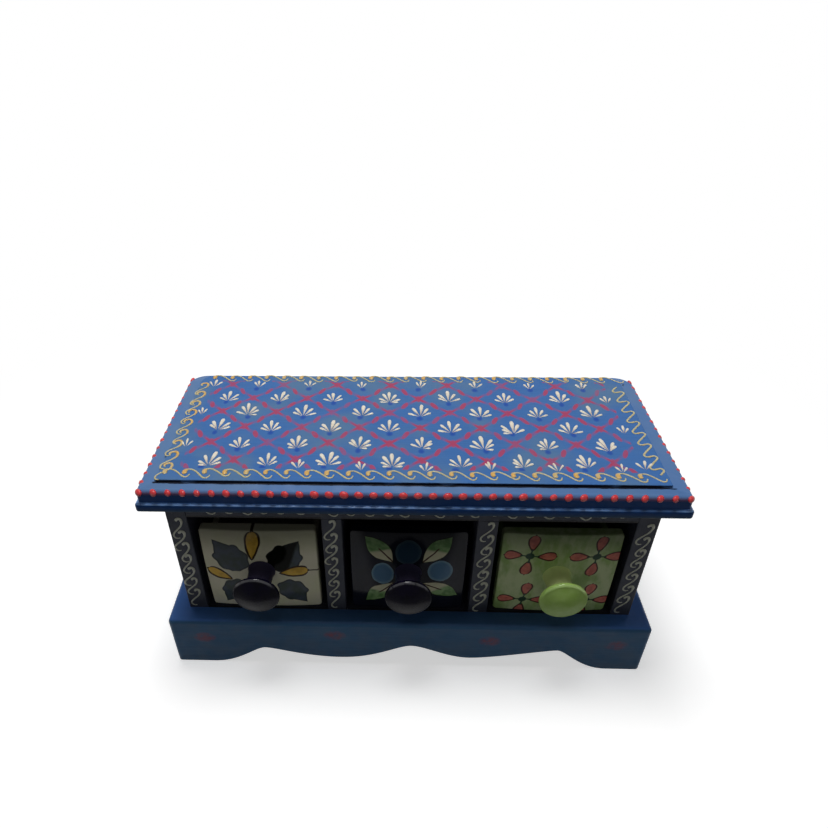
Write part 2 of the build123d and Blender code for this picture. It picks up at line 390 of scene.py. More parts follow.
class ChestColours(PropertyGroup):
    """Main colours of the paints and glazes."""

    lid_blue: colour_property("Lid blue", "Top of the lid", 66, 112, 174)
    # painted darker than the top of the lid, as painted shade
    edge_navy: colour_property("Edge navy", "Upright faces of the lid's edge", 14, 56, 110)
    case_slate: colour_property("Case slate", "Front edges of the case", 54, 57, 66)
    skirt_blue: colour_property("Skirt blue", "Aprons and outside of the case", 50, 90, 126)
    dot_red: colour_property("Dot red", "Raised dots on the lid", 222, 52, 58)
    scroll_yellow: colour_property("Scroll yellow", "Border of the lid", 202, 190, 142)
    petal_cream: colour_property("Petal cream", "Fans on the lid", 240, 232, 214)
    glaze_cream: colour_property("Cream glaze", "Left drawer", 194, 190, 168)
    glaze_night: colour_property("Night glaze", "Middle drawer", 22, 24, 36)
    glaze_green: colour_property("Green glaze", "Right drawer", 132, 156, 96)
    knob_navy: colour_property("Navy knob", "Left and middle knobs", 14, 10, 34)
    knob_lime: colour_property("Lime knob", "Right knob", 188, 224, 126)


# Enamel paint on wood


def brushed(sheet, colour, along, grain, strength):
    """Paint with streaks left by the brush, and the streaks' height."""
    stretch = {"x": (14, 1, 1), "y": (1, 14, 1), "z": (1, 1, 14)}[along]
    streaks = sheet.noise(grain, 3.0, stretch, 0.6)
    tone = 1 + (streaks - 0.5) * strength * 2 + (sheet.noise(38) - 0.5) * strength
    return sheet.toned(colour, tone), streaks


def worn(sheet, colour, height, bare, amount=0.62):
    """Scuffs and specks where the paint has thinned."""
    speck = sheet.noise(2.2, 4.0, rough=0.7).rise(amount, amount + 0.06)
    mask = speck * sheet.noise(26).rise(0.52, 0.66)
    return sheet.mix(mask * 0.7, colour, bare), height - mask * 0.6


def lattice_strokes(x, y):
    """Masks of the brushed lattice between the fans: its dabs, its lines and the fans' feet."""
    share = (x - FAN_CENTRE[0]) / FAN_PITCH[0]
    column = share + share * abs(share) * FAN_SQUEEZE
    row = (y - FAN_CENTRE[1]) / FAN_PITCH[1]
    rising, falling = column * 2 + row, column * 2 - row

    def off(value, odd):
        """How far a value is from the nearest odd or even number."""
        return value - ((value - odd) * 0.5).nearest() * 2 - odd

    def offset(first, second):
        """The same two distances across and along the lid, in millimetres."""
        return (first + second) * (FAN_PITCH[0] / 4), (first - second) * (FAN_PITCH[1] / 2)

    # widths and lengths of the dabs, and how far they lean
    middle, arm, dab, foot = (3.1, 6.8), (2.3, 11.5), (3.1, 8.4), (3.4, 4.2)
    arm_lean, dab_lean, foot_drop = 48.5, 24, 1.7
    odd_a, odd_b, even_a, even_b = off(rising, 1), off(falling, 1), off(rising, 0), off(falling, 0)
    crossing = offset(odd_a, odd_b)
    dabs = any_of([
        ellipse(*crossing, *middle, 0.5),
        *(ellipse(*turned(*crossing, lean), *arm, 0.6) for lean in (-arm_lean, arm_lean)),
        ellipse(*turned(*offset(odd_a, even_b), dab_lean), *dab),
        ellipse(*turned(*offset(even_a, odd_b), -dab_lean), *dab),
    ])
    near = ellipse(*crossing, 17.0, 14.0, 0.8)
    line = abs(odd_a).least(abs(odd_b)).fall(0.03, 0.17) * (0.55 + near * 0.45)
    line_up = (y - FAN_FOOT + foot_drop) / FAN_ROW
    nearest = line_up.nearest()
    step = column + (1 - nearest % 2) * 0.5
    feet = ellipse((step - step.nearest()) * FAN_PITCH[0], (line_up - nearest) * FAN_ROW, *foot, 1.0)
    return dabs, line, feet


def make_lid_paint(colours):
    """Blue enamel: the top with its brushed lattice, the sloping band and the dark edge."""
    sheet = new_material("lid_paint")
    x, y, z = sheet.millimetres()
    sway_x, sway_y, _ = sheet.sway(16, 1.5)
    x, y = x + sway_x, y + sway_y
    colour, streaks = brushed(sheet, colours.lid_blue, "x", 1.2, 0.13)
    flat = z.rise(LID_HIGH.z - 1.1, LID_HIGH.z - 0.5)
    faded = sheet.noise(34).rise(0.42, 0.66)
    colour = sheet.mix(faded * 0.75, colour, paint(92, 124, 156))
    band = sheet.mix(0.6, colour, paint(100, 132, 178))
    colour = sheet.mix(flat, band, colour)

    # painted shade in the step where the panel rises from the band: a dark line, darkest along the front
    below = z.fall(LID_HIGH.z - 0.4, LID_HIGH.z - 0.05)
    step = z.rise(PANEL_FOOT - 0.1, PANEL_FOOT + 0.3) * below
    front = (y - PANEL_FRONT).fall(0.25, 0.85)
    step_shade = (z + sheet.noise(9) * 0.3).rise(PANEL_FOOT - 0.25, PANEL_FOOT - 0.1) * below * front
    colour = sheet.mix((step * 0.6).most(step_shade), colour, paint(8, 14, 30))

    # the edge from its foot up, with a broken, painted highlight along the top of the lip, in a pale colour
    # and in a coat laid only there
    navy, _ = brushed(sheet, colours.edge_navy, "x", 1.2, 0.2)
    broken = sheet.noise(6, stretch=(4, 1, 1)).rise(0.4, 0.55, 0.3, 1.0)
    edge = sheet.mix(z.rise(LID_LOW.z + 0.5, LID_LOW.z + 3.1), paint(46, 68, 92), paint(18, 56, 108))
    # painted highlight: pale blue along the top of the lip, broken by noise
    edge = sheet.mix(z.rise(LIP_TOP - 0.6, LIP_TOP - 0.3) * broken, edge, paint(122, 164, 220))
    # painted shade: the upright faces of the edge are a darker navy than the top
    edge = sheet.mix(z.rise(LIP_TOP + 0.1, LIP_TOP + 0.7), edge, navy)
    edge = sheet.mix(z.rise(SHOULDER_TOP - 3.6, SHOULDER_TOP - 1.6) * 0.7, edge, paint(128, 96, 128))
    # painted highlight: a coat only along the top of the lip
    gleam = z.rise(LIP_TOP - 0.7, LIP_TOP - 0.4) * z.fall(LIP_TOP + 0.2, LIP_TOP + 0.7) * broken * 0.4
    colour = sheet.mix(z.rise(SHOULDER_TOP - 2.2, SHOULDER_TOP - 0.3), edge, colour)

    dabs, line, feet = lattice_strokes(x, y)
    low_x, high_x, low_y, high_y = FIELD
    inside = flat * (x - low_x).rise(0, 1) * (high_x - x).rise(0, 1)
    inside = inside * (y - low_y).rise(0, 1) * (high_y - y).rise(0, 1)
    cover = sheet.noise(5, 3.0, (1, 2, 1), 0.6)
    load = sheet.noise(30, 1.0)
    line_cover = line * inside * (cover.rise(0.25, 0.65) * 0.5 + 0.3) * load.rise(0.3, 0.6, 0.6, 1.0)
    colour = sheet.mix(line_cover, colour, paint(150, 78, 128))
    dab_cover = dabs * inside * cover.rise(0.22, 0.5, 0.55, 1.0) * load.rise(0.25, 0.5, 0.55, 1.0)
    colour = sheet.mix(dab_cover * 0.84, colour, paint(176, 66, 96))
    colour = sheet.mix(feet * inside * 0.75, colour, paint(28, 68, 164))
    height = streaks * 0.35 + dab_cover * 0.5 + feet * inside * 0.4
    return finish_material(
        sheet, colour, sheet.patchy(9, 0.32, 0.5), height, 0.12,
        Specular_IOR_Level=0.07, Coat_Weight=gleam, Coat_Roughness=0.2)


def make_case_paint(colours):
    """Slate enamel on the front edges, blue outside, and dark paint inside the case."""
    sheet = new_material("case_paint")
    x, y, z = sheet.millimetres()
    front, streaks = brushed(sheet, colours.case_slate, "z", 1.0, 0.22)
    outside, _ = brushed(sheet, colours.skirt_blue, "y", 1.3, 0.2)
    inside, _ = brushed(sheet, paint(34, 35, 44), "y", 1.2, 0.25)
    half_width = abs(CASE_LOW.x)
    colour = sheet.mix(abs(x).rise(half_width - 1.0, half_width - 0.5), inside, outside)
    # painted shade: the rail's lowest strip is dark between the uprights, under the lid's overhang
    upright = abs(abs(x) - BAY_PITCH / 2).fall(5.6, 6.0).most(abs(x).rise(128.6, 129.0))
    front = sheet.mix((1 - upright) * z.fall(119.7, 120.5), front, paint(12, 12, 14))
    colour = sheet.mix(y.rise(CASE_FRONT + 0.4, CASE_FRONT + 0.9), front, colour)
    colour, height = worn(sheet, colour, streaks * 0.5, paint(96, 98, 104))
    return finish_material(sheet, colour, sheet.patchy(8, 0.36, 0.56), height, 0.12, Specular_IOR_Level=0.1)


def make_back_paint(colours):
    """Plain blue enamel on the thin back board."""
    sheet = new_material("back_paint")
    colour, streaks = brushed(sheet, shade(colours.skirt_blue, 0.9), "x", 1.6, 0.22)
    colour, height = worn(sheet, colour, streaks * 0.6, paint(120, 104, 84), 0.6)
    return finish_material(sheet, colour, sheet.patchy(8, 0.4, 0.6), height, 0.15, Specular_IOR_Level=0.2)


def make_skirt_paint(colours):
    """Deep blue enamel with four faint red flowers, half worn off, along the front."""
    sheet = new_material("skirt_paint")
    x, y, z = sheet.millimetres()
    sway_x, _, sway_z = sheet.sway(7, 0.7)
    colour, streaks = brushed(sheet, colours.skirt_blue, "x", 1.3, 0.22)
    # painted light and shade: the skirt's top is lighter blue towards the ends and darker in the middle,
    # under the drawers
    top = z.rise(SKIRT_HIGH.z - 1.2, SKIRT_HIGH.z - 0.2)
    ledge = sheet.mix(abs(x).rise(95.0, 140.0), paint(56, 86, 130), paint(74, 118, 196))
    colour = sheet.mix(top * 0.7, colour, ledge)
    flowers = any_of([
        ellipse(x + sway_x - across, z + sway_z - up, 12.0, 8.0, 1.0) for across, up in MOTIFS])
    front = (y - SKIRT_LOW.y).fall(0.5, 0.7)
    cover = flowers * front * sheet.noise(4, rough=0.55).rise(0.25, 0.7, 0.12, 0.78)
    colour = sheet.mix(cover, colour, paint(134, 66, 78))
    colour, height = worn(sheet, colour, streaks * 0.5 + cover * 0.3, paint(60, 84, 116), 0.66)
    return finish_material(sheet, colour, sheet.patchy(9, 0.3, 0.5), height, 0.14, Specular_IOR_Level=0.12)


# Glazes


def face_place(sheet, bay):
    """Where a point of a drawer's face is, from the face's middle, with a hand's sway."""
    x, y, z = sheet.millimetres()
    sway_x, _, sway_z = sheet.sway(9, 0.8)
    middle = (BAYS.index(bay) - 1) * BAY_PITCH
    return x - middle + sway_x, y, z - FACE_MIDDLE + sway_z


def outlined(sheet, colour, inside, fill, line, width=0.9):
    """A shape with an outline, painted on a colour."""
    colour = sheet.mix(inside.rise(-width - 0.3, -width + 0.3), colour, line)
    return sheet.mix(inside.rise(-0.25, 0.35), colour, fill)


def finish_glaze(sheet, colour, gloss, roughness=0.12):
    """A gloss glaze, nearly smooth: the gloss is a share, or a mask of shares."""
    rough = sheet.patchy(6, roughness - 0.03, roughness + 0.04)
    return finish_material(
        sheet, colour, rough, sheet.noise(11), 0.25,
        Specular_IOR_Level=0.02, Coat_Weight=gloss, Coat_Roughness=roughness)


def finish_face(sheet, colour, y, z, tray, gloss, roughness=0.12):
    """A drawer's glaze: the face's own has painted shade towards the top and painted light low down, and the
    tray's is plain.
    """
    # painted shade, darker towards the top under the lid, and painted light, lighter low down
    colour = sheet.toned(colour, z.rise(10.0, 36.0, 1.55, 0.5))
    colour = sheet.mix((y - FACE_LOW.y).rise(8.1, 8.5), colour, tray)
    return finish_glaze(sheet, colour, gloss, roughness)


def make_glaze_left(colours):
    """Cream glaze with four slate leaves and ochre buds between them."""
    sheet = new_material("glaze_left")
    x, y, z = face_place(sheet, "left")
    colour = sheet.mottled(20, colours.glaze_cream, paint(190, 190, 160), high=0.7)

    # the lower leaves are smaller and further out, and the upper right one is nearer in, with a painted
    # shadow of the knob on its inner side
    low, upper_right = 1 - z.over(0.0), x.over(0.0) * z.over(0.0)
    size = 1 - low * 0.15
    side = (abs(x) - 17.5 + upper_right * 3.0) / size
    up = (abs(z) - 10.8 - low * 5.7) / size
    lean_side, lean_up = 0.565, 0.825
    along, across = side * lean_side + up * lean_up, side * lean_up - up * lean_side
    shape = lobed_leaf(sheet, across, along, 17.7)
    # painted shadow of the knob: near-black over the inner side of the upper right leaf
    dark = (side - up * 0.33).fall(4.0, 6.2) * upper_right
    slate = sheet.mix(dark, sheet.mottled(8, paint(68, 76, 86), paint(60, 70, 66)), paint(10, 12, 8))
    colour = sheet.mix(shape.rise(-0.4, 0.3), colour, slate)
    rim = shape.rise(-0.3, 0.2) * shape.fall(0.4, 1.3)
    colour = sheet.mix(rim * 0.55, colour, paint(16, 20, 18))

    ochre = sheet.mottled(5, paint(206, 168, 74), paint(180, 144, 56), 0.4, 0.7)
    line = paint(44, 28, 12)
    right_bud = teardrop(z + 1.0 - (x - 11.5) * 0.14, x - 11.5, 7.2, 17.0)
    left_bud = teardrop(*turned(z + 7.0, -x - 20.0, -31), 6.2, 15.5)
    end_bud = teardrop(x + 5.0 - (abs(z) - 11.0) * 0.12, abs(z) - 11.0, 7.0, 21.5)
    for bud in (right_bud, left_bud, end_bud):
        colour = outlined(sheet, colour, bud, ochre, line, 1.3)
    end_stem = abs(x + 3.0).fall(0.2, 0.5) * abs(z).rise(31.8, 32.3)
    side_stem = abs(z - 1.2).fall(0.3, 0.65) * x.rise(28.0, 28.5)
    colour = sheet.mix(end_stem.most(side_stem), colour, line)
    # less gloss over the painted shadow of the knob
    gloss = 0.06 - shape.rise(-0.3, 0.2) * dark * 0.05
    # the tray: the cream ground made darker, as painted shade in the bay
    return finish_face(sheet, colour, y, z, shade(colours.glaze_cream, 0.6), gloss)


def make_glaze_middle(colours):
    """Near-black glaze with green leaves to the corners and blue petals round the knob."""
    sheet = new_material("glaze_middle")
    x, y, z = face_place(sheet, "middle")
    colour = sheet.mottled(18, colours.glaze_night, paint(17, 20, 26), 0.3, 0.7)

    # the leaves lean to the corners, and the lower right one lies flatter
    middle = 0.5
    low, right = 1 - z.over(middle), x.over(0.0)
    lean_side, lean_up = 0.64 + low * right * 0.22, 0.77 - low * right * 0.26
    side, up = abs(x) - 9.0, abs(z - middle) * (1 + low * 0.12) - 9.5
    along, across = side * lean_side + up * lean_up, up * lean_side - side * lean_up
    green = sheet.mottled(6, paint(116, 146, 98), paint(80, 114, 66))
    fill = sheet.mix((along + across * 0.5).rise(10.5, 13.5), paint(176, 174, 146), green)
    vein = abs(across - 0.2).fall(0.3, 0.7) * along.fall(13, 15)
    fill = sheet.mix(vein, fill, paint(64, 46, 34))
    colour = outlined(sheet, colour, leaf(across, along, 12.5, 26.0), fill, paint(10, 16, 12), 0.8)

    # the right petal is a little wider, further out and higher than the left one
    side_reach = (abs(x) - 15.5 - right * 4.0) / (6.8 + right * 0.7)
    side_petal = side_reach ** 2.0 + ((z - right * 2.8) / 9.0) ** 2.0
    end_petal = (x / 7.8) ** 2.0 + ((abs(z - middle) - 17.5) / 9.6) ** 2.0
    for petal, tone in ((1 - side_petal, 0.85), (1 - end_petal, 0.22)):
        blue = sheet.mix(petal.rise(0.05, 0.5), paint(104, 134, 150), paint(70, 106, 136))
        colour = sheet.mix(petal.rise(-0.03, 0.03), colour, sheet.toned(blue, tone))
    # painted reflection: the coat grows towards the sides and fades towards the middle and low down
    veil = (abs(x) - z * 0.2).rise(18.0, 26.0, 0.02, 0.14) * z.rise(-28.0, -21.0, 0.1, 1.0)
    return finish_face(sheet, colour, y, z, colours.glaze_night, veil, 0.14)


def make_glaze_right(colours):
    """Mottled green glaze with four flowers of four coral petals."""
    sheet = new_material("glaze_right")
    x, y, z = face_place(sheet, "right")
    mottle = sheet.noise(9, 3.0, (1, 1, 2), 0.6)
    colour = sheet.mix(mottle.rise(0.35, 0.65), colours.glaze_green, paint(168, 180, 138))
    colour = sheet.mix(sheet.noise(16).rise(0.52, 0.72) * 0.6, colour, paint(112, 138, 80))

    # the flowers stand round a point near the middle, and lean
    beside, above = x - 1.8, z + 2.6
    high = abs(above) - 19.2
    wide = abs(beside) - 19.5 - high * 0.12 * beside.sign() * above.sign()
    out, across = abs(wide).most(abs(high)), abs(wide).least(abs(high))
    petal = teardrop(across, out - 4.6, 5.6, 10.6)
    coral = sheet.mottled(4, paint(188, 110, 96), paint(164, 90, 80), high=0.7)
    colour = outlined(sheet, colour, petal, coral, paint(62, 32, 26))
    centre = ellipse(wide, high, 5.0, 5.0, 0.3)
    stalk = across.fall(0.3, 0.7) * out.fall(5.6, 6.0)
    for mask in (centre, stalk):
        colour = sheet.mix(mask, colour, paint(44, 68, 52))
    # the tray: the green ground made darker, as painted shade in the bay
    return finish_face(sheet, colour, y, z, shade(colours.glaze_green, 0.6), 0.06)


def make_knob_glaze(name, colour, neck, mottle):
    """A gloss glaze, paler on the neck as painted light, with a coat on the upper edge of the rim as a
    painted highlight and a faint one on the lower half as a painted reflection.
    """
    sheet = new_material(name)
    _, y, z = sheet.millimetres()
    behind, up = y - KNOB_LOW.y, z - KNOB_MIDDLE
    # painted light: the neck is a paler colour
    body = sheet.mix(behind.rise(5.6, 7.4), sheet.mottled(9, colour, mottle, high=0.7), neck)
    # painted highlight: a coat only in a crescent along the upper edge of the rim
    crescent = behind.rise(2.8, 3.3) * behind.fall(4.0, 4.6) * up.rise(6.0, 10.0)
    crescent = crescent * sheet.noise(3.5).rise(0.35, 0.5, 0.3, 1.0)
    # painted reflection: a faint coat on the lower half
    below = up.fall(-2.5, 0.5)
    return finish_glaze(sheet, body, (crescent * 0.9).most(below * 0.1 + 0.01), 0.09)


def make_steel():
    """Zinc-plated steel, dulled a little."""
    sheet = new_material("zinc_steel")
    tone = sheet.noise(1.5, 3.0)
    colour = sheet.mix(tone, paint(150, 152, 154), paint(188, 188, 186))
    return finish_material(sheet, colour, sheet.patchy(0.8, 0.28, 0.48), tone, 0.02, Metallic=1.0)


def make_raised_paint(name, colour, second, thick=None, foot=None):
    """Paint squeezed from a cone: glossy beads and lines. It can have another colour where it lies thick, and
    a darker one at the foot of the dots on the lid's edge, as painted shade."""
    sheet = new_material(name)
    body = sheet.mix(sheet.patchy(2.6, 0.0, 0.5), colour, second)
    if thick is not None:
        load = sheet.add("ShaderNodeAttribute", out="Fac", attribute_name="load")
        body = sheet.mix(load * sheet.noise(7, 1.0).rise(0.3, 0.65, 0.35, 1.0), body, thick)
    if foot is not None:
        # painted shade: darker towards the foot of each dot
        _, _, z = sheet.millimetres()
        body = sheet.mix(z.rise(DOT_HEIGHT - 1.3, DOT_HEIGHT + 0.7), foot, body)
    rough = sheet.patchy(3, 0.25, 0.4)
    return finish_material(sheet, body, rough, sheet.noise(1.1), 0.06, Specular_IOR_Level=0.4)


# Geometry trees for ornament that repeats


def new_tree(name, inputs):
    """A geometry tree with named inputs, and the sheet and terms to write it with."""
    tree = bpy.data.node_groups.new(name, "GeometryNodeTree")
    sheet = Sheet(tree)
    for label, (kind, value) in inputs.items():
        socket = tree.interface.new_socket(name=label, in_out="INPUT", socket_type=f"NodeSocket{kind}")
        if value is not None:
            socket.default_value = value
    tree.interface.new_socket(name="Geometry", in_out="OUTPUT", socket_type="NodeSocketGeometry")
    group = tree.nodes.new("NodeGroupInput")
    terms = {label: Term(sheet, group.outputs[label]) for label in inputs}
    return tree, sheet, terms


def end_tree(sheet, geometry, material):
    """Ends a tree in smooth, real faces with their paint."""
    geometry = sheet.add("GeometryNodeRealizeInstances", {"Geometry": geometry})
    geometry = sheet.add("GeometryNodeSetShadeSmooth", {"Geometry": geometry})
    geometry = sheet.add("GeometryNodeSetMaterial", {"Geometry": geometry, "Material": material})
    sheet.add("NodeGroupOutput", {"Geometry": geometry})


def moved(sheet, geometry, position):
    """Geometry with its points put somewhere else."""
    return sheet.add("GeometryNodeSetPosition", {"Geometry": geometry, "Position": position})


def loaded(sheet, geometry, load):
    """Geometry that carries how thick the paint lies on it, from 0 to 1."""
    values = {"Geometry": geometry, "Name": "load", "Value": load}
    return sheet.add("GeometryNodeStoreNamedAttribute", values, data_type="FLOAT", domain="POINT")


def facing(sheet, along, outward):
    """The rotation that lays X along a line and turns Z outwards."""
    values = {"Primary Axis": along, "Secondary Axis": outward}
    return sheet.add("FunctionNodeAxesToRotation", values, primary_axis="X", secondary_axis="Z")


def spun(sheet, angle):
    """The rotation by an angle about Z."""
    return sheet.add("FunctionNodeAxisAngleToRotation", {"Axis": (0, 0, 1), "Angle": angle})


def jitter(sheet, low, high, identity, seed):
    """A random value for each identity."""
    values = {"Min": low, "Max": high, "ID": identity, "Seed": seed}
    return sheet.add("FunctionNodeRandomValue", values, "Value", data_type="FLOAT")


def scroll_tree():
    """One stroke, given as a line on the XY plane, laid again and again along a path."""
    tree, sheet, given = new_tree("scroll", {
        "Line": ("Geometry", None), "Steps": ("Int", 40), "Start": ("Vector", (0, 0, 0)),
        "Along": ("Vector", (1, 0, 0)), "Out": ("Vector", (0, 0, 1)), "Units": ("Int", 5),
        "Pitch": ("Float", 0.0107), "Stroke": ("Float", 0.001), "Load": ("Float", 1.2),
        "Load From": ("Float", 0.0), "Load To": ("Float", 0.3), "Ends": ("Float", 0.6),
        "Uneven": ("Float", 0.08), "Seed": ("Int", 0), "Material": ("Material", None),
    })
    share = sheet.add("GeometryNodeInputIndex") / (given["Steps"] - 1)
    load = share.rise(given["Load From"] - 0.1, given["Load From"] + 0.06)
    load = load * share.fall(given["Load To"] - 0.06, given["Load To"] + 0.1)
    curve = sheet.add("GeometryNodeMeshToCurve", {"Mesh": loaded(sheet, given["Line"], load)})
    taper = share.rise(0.0, 0.06, given["Ends"], 1.0) * share.rise(0.82, 1.0, 1.0, given["Ends"])
    radius = given["Stroke"] * 0.5 * (1 + given["Load"] * load) * taper
    ring = sheet.add("GeometryNodeCurvePrimitiveCircle", {"Resolution": 7, "Radius": 1.0})
    tube = sheet.add("GeometryNodeCurveToMesh", {
        "Curve": curve, "Profile Curve": ring, "Scale": radius, "Fill Caps": True})
    tube = moved(sheet, tube, sheet.vector("MULTIPLY", sheet.add("GeometryNodeInputPosition"), (1, 1, 0.4)))

    spots = sheet.add("GeometryNodePoints", {"Count": given["Units"]})
    unit = sheet.add("GeometryNodeInputIndex")
    along, out, pitch, uneven, seed = (given[label] for label in ("Along", "Out", "Pitch", "Uneven", "Seed"))
    reach = pitch * (unit + uneven * 0.5 * jitter(sheet, -1.0, 1.0, unit, seed))
    drift = pitch * uneven * 0.5 * jitter(sheet, -1.0, 1.0, unit, seed + 1)
    spot = sheet.vector("ADD", given["Start"], sheet.scaled(along, reach))
    spot = sheet.vector("ADD", spot, sheet.scaled(sheet.vector("CROSS_PRODUCT", out, along), drift))
    tilt = spun(sheet, uneven * jitter(sheet, -1.0, 1.0, unit, seed + 2))
    values = {"Rotation": facing(sheet, along, out), "Rotate By": tilt}
    tilted = sheet.add("FunctionNodeRotateRotation", values, rotation_space="LOCAL")
    size = 1 + uneven * jitter(sheet, -1.0, 1.0, unit, seed + 3)
    strokes = sheet.add("GeometryNodeInstanceOnPoints", {
        "Points": moved(sheet, spots, spot), "Instance": tube, "Rotation": tilted,
        "Scale": sheet.join(size, size, 1.0)})
    end_tree(sheet, strokes, given["Material"])
    return tree


def flowing(points, steps=5):
    """A smooth line through points given in millimetres."""
    knots = [Vector((*point, 0)) * MM for point in points]
    knots = [knots[0] * 2 - knots[1], *knots, knots[-1] * 2 - knots[-2]]
    line = []
    for before, start, end, after in zip(knots, knots[1:], knots[2:], knots[3:]):
        pull = 2 * before - 5 * start + 4 * end - after
        swing = 3 * start - before - 3 * end + after
        for step in range(steps):
            t = step / steps
            bend = pull * t + swing * t * t
            line.append(start + (end - before + bend) * t / 2)
    return [*line, knots[-2]]


def fan_tree():
    """Rows of fans: each a spray of flat drops that meet at its foot."""
    tree, sheet, given = new_tree("fans", {
        "Rows": ("Int", 6), "Columns": ("Int", 8), "Petals": ("Int", 7), "First Column": ("Float", -4.0),
        "Stagger": ("Float", 0.5), "First Row": ("Float", FAN_FOOT * MM), "Shift": ("Float", 0.0),
        "Top": ("Float", 0.148), "Length": ("Float", 0.011), "Width": ("Float", 0.0031),
        "Thickness": ("Float", 0.0007), "Size": ("Float", 1.0), "Seed": ("Int", 0),
        "Material": ("Material", None),
    })
    columns, petals, seed = given["Columns"], given["Petals"], given["Seed"]
    points = sheet.add("GeometryNodePoints", {"Count": given["Rows"] * columns * petals})
    index = sheet.add("GeometryNodeInputIndex")
    fan = (index / petals).whole()
    column, row = fan % columns, (fan / columns).whole()

    # where each fan's foot is: the outermost ones keep inside the border
    step = given["First Column"] + column + given["Stagger"] * (1 - row % 2)
    x = FAN_CENTRE[0] * MM + step * (FAN_PITCH[0] * MM) - step * abs(step) * (0.55 * MM) + given["Shift"]
    x = x.most(FAN_ENDS[0] * MM).least(FAN_ENDS[1] * MM)
    x = x + (1 - row).most(0.0) * (2.6 * MM)
    y = given["First Row"] + row * (FAN_ROW * MM)
    x = x + jitter(sheet, -1.0 * MM, 1.0 * MM, fan, seed)
    y = y + jitter(sheet, -0.9 * MM, 0.9 * MM, fan, seed + 1)
    edge = (abs(x + 2 * MM) - 122 * MM).over(0.0).most((row - 4.5).over(0.0))

    # how each petal is turned and how large it is: fans at the edge are smaller and have fewer
    place = index % petals - (petals - 1) * 0.5
    size = given["Size"] * (1 - edge * 0.3) * jitter(sheet, 0.9, 1.08, fan, seed + 2)
    angle = place * jitter(sheet, 0.45, 0.54, fan, seed + 3) + jitter(sheet, -0.12, 0.12, index, seed + 4)
    angle = angle + jitter(sheet, -0.12, 0.12, fan, seed + 5)
    length = given["Length"] * size * (1 - abs(place) * 0.19) * jitter(sheet, 0.93, 1.07, index, seed + 6)
    width = given["Width"] * size * (1.08 - abs(place) * 0.11) * jitter(sheet, 0.88, 1.1, index, seed + 7)
    outer = abs(place).over(2.5) * jitter(sheet, 0.0, 1.0, index, seed + 8).over(0.3)
    left_out = outer.most(edge * abs(place).over(1.5))

    drop = sheet.add("GeometryNodeMeshUVSphere", {"Segments": 10, "Rings": 7, "Radius": 1.0})
    across, up, along = sheet.split(sheet.add("GeometryNodeInputPosition"))
    share = (along + 1) * 0.5
    swell = 0.12 + share ** 1.5 * 0.88
    drop = loaded(sheet, drop, share.fall(0.1, 0.7))
    drop = moved(sheet, drop, sheet.join(across * swell * 0.66, share + 0.1, (up * swell).most(-0.25)))
    sprays = sheet.add("GeometryNodeInstanceOnPoints", {
        "Points": moved(sheet, points, sheet.join(x, y, given["Top"])), "Selection": left_out.fall(0.4, 0.6),
        "Instance": drop, "Rotation": spun(sheet, -angle),
        "Scale": sheet.join(width, length, given["Thickness"])})
    end_tree(sheet, sprays, given["Material"])
    return tree


def dot_tree():
    """Round beads of paint along a line, leaning outwards over the edge they sit on."""
    tree, sheet, given = new_tree("dots", {
        "Line": ("Geometry", None), "Count": ("Int", 65), "Width": ("Float", 0.0045),
        "Thickness": ("Float", 0.0028), "Seed": ("Int", 0), "Material": ("Material", None),
    })
    curve = sheet.add("GeometryNodeMeshToCurve", {"Mesh": given["Line"]})
    values = {"Curve": curve, "Count": given["Count"]}
    spaced = sheet.add("GeometryNodeCurveToPoints", values, mode="COUNT")
    tangent = Term(sheet, pick_socket(spaced.socket.node.outputs, "Tangent"))
    outward = sheet.vector("ADD", sheet.vector("CROSS_PRODUCT", tangent, (0, 0, 1)), (0, 0, 0.55))
    size = jitter(sheet, 0.9, 1.06, sheet.add("GeometryNodeInputIndex"), given["Seed"])
    wide = given["Width"] * 0.5 * size
    bead = sheet.add("GeometryNodeMeshUVSphere", {"Segments": 12, "Rings": 8, "Radius": 1.0})
    beads = sheet.add("GeometryNodeInstanceOnPoints", {
        "Points": spaced, "Instance": bead, "Rotation": facing(sheet, tangent, outward),
        "Scale": sheet.join(wide, wide * 0.74, given["Thickness"] * 0.5 * size)})
    end_tree(sheet, beads, given["Material"])
    return tree


def grow(name, tree, line=(), **inputs):
    """Runs a geometry tree once and keeps what it makes as a plain mesh at the origin."""
    mesh = bpy.data.meshes.new(name)
    mesh.from_pydata([tuple(point) for point in line], [(i, i + 1) for i in range(len(line) - 1)], [])
    piece = bpy.data.objects.new(name, mesh)
    bpy.context.scene.collection.objects.link(piece)
    modifier = piece.modifiers.new(name, "NODES")
    modifier.node_group = tree
    sockets = {item.name: item.identifier for item in tree.interface.items_tree if item.in_out == "INPUT"}
    for label, value in inputs.items():
        modifier[sockets[label.replace("_", " ")]] = value
    depsgraph = bpy.context.evaluated_depsgraph_get()
    grown = bpy.data.meshes.new_from_object(piece.evaluated_get(depsgraph), depsgraph=depsgraph)
    grown.name = name
    piece.modifiers.clear()
    piece.data = grown
    return piece


def settle(piece, body):
    """Fixes a finished piece to its body."""
    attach(piece, body)


def merge(name, pieces):
    """Pieces of one kind as one mesh."""
    whole = pieces[0]
    with bpy.context.temp_override(
        active_object=whole, object=whole, selected_objects=pieces, selected_editable_objects=pieces
    ):
        bpy.ops.object.join()
    whole.name = whole.data.name = name
    return whole


# Operators: one for each piece or group of like pieces


class CHEST_OT_lid_paint(Operator):
    """Paints the lid blue, with the brushed lattice on its top"""

    bl_idname = "chest.lid_paint"
    bl_label = "Lid paint"

    def execute(self, context):
        dress(make_lid_paint(context.scene.chest_colours), "lid")
        return {"FINISHED"}


